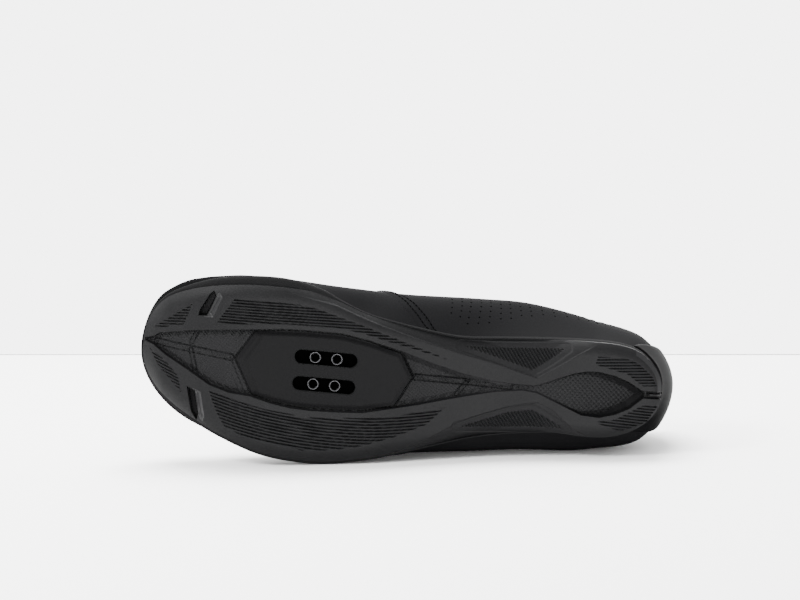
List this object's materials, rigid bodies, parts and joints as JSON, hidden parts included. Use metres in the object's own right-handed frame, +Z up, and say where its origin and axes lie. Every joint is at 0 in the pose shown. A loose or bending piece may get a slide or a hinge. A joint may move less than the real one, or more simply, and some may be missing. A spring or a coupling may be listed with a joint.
{
  "type": "cycling shoe",
  "caption": "Low road and touring cycling shoe for the right foot, with a recessed two-bolt cleat pad, a winged rubber tread and a strapped synthetic upper, lying on its side.",
  "frame": {"origin": "middle of the shoe's footprint on the floor, as it lies on its lateral side", "axes": "+X from the toe towards the heel, -Y the way the sole faces, +Z up from the floor towards the medial side"},
  "size_m": [0.279, 0.107, 0.0994],
  "materials": {
    "upper_leather": "matte black synthetic leather with fine grain",
    "moulded_plastic": "satin black moulded cup",
    "tread_rubber": "matte black rubber with a fine grooved tread",
    "sole_nylon": "matte black filled nylon",
    "cleat_steel": "dark plated steel",
    "insole_foam": "black cloth-topped foam",
    "tongue_cloth": "black padded mesh cloth",
    "strap_cloth": "black coated strap"
  },
  "bodies": {
    "root": {"upper": "upper_leather", "heel_counter": "moulded_plastic", "outsole": "tread_rubber", "sole_plate": "sole_nylon", "cleat_nut_plate": "cleat_steel", "insole": "insole_foam", "tongue": "tongue_cloth", "strap_toe": "strap_cloth", "strap_mid": "strap_cloth", "strap_top": "strap_cloth"}
  },
  "joints": []
}
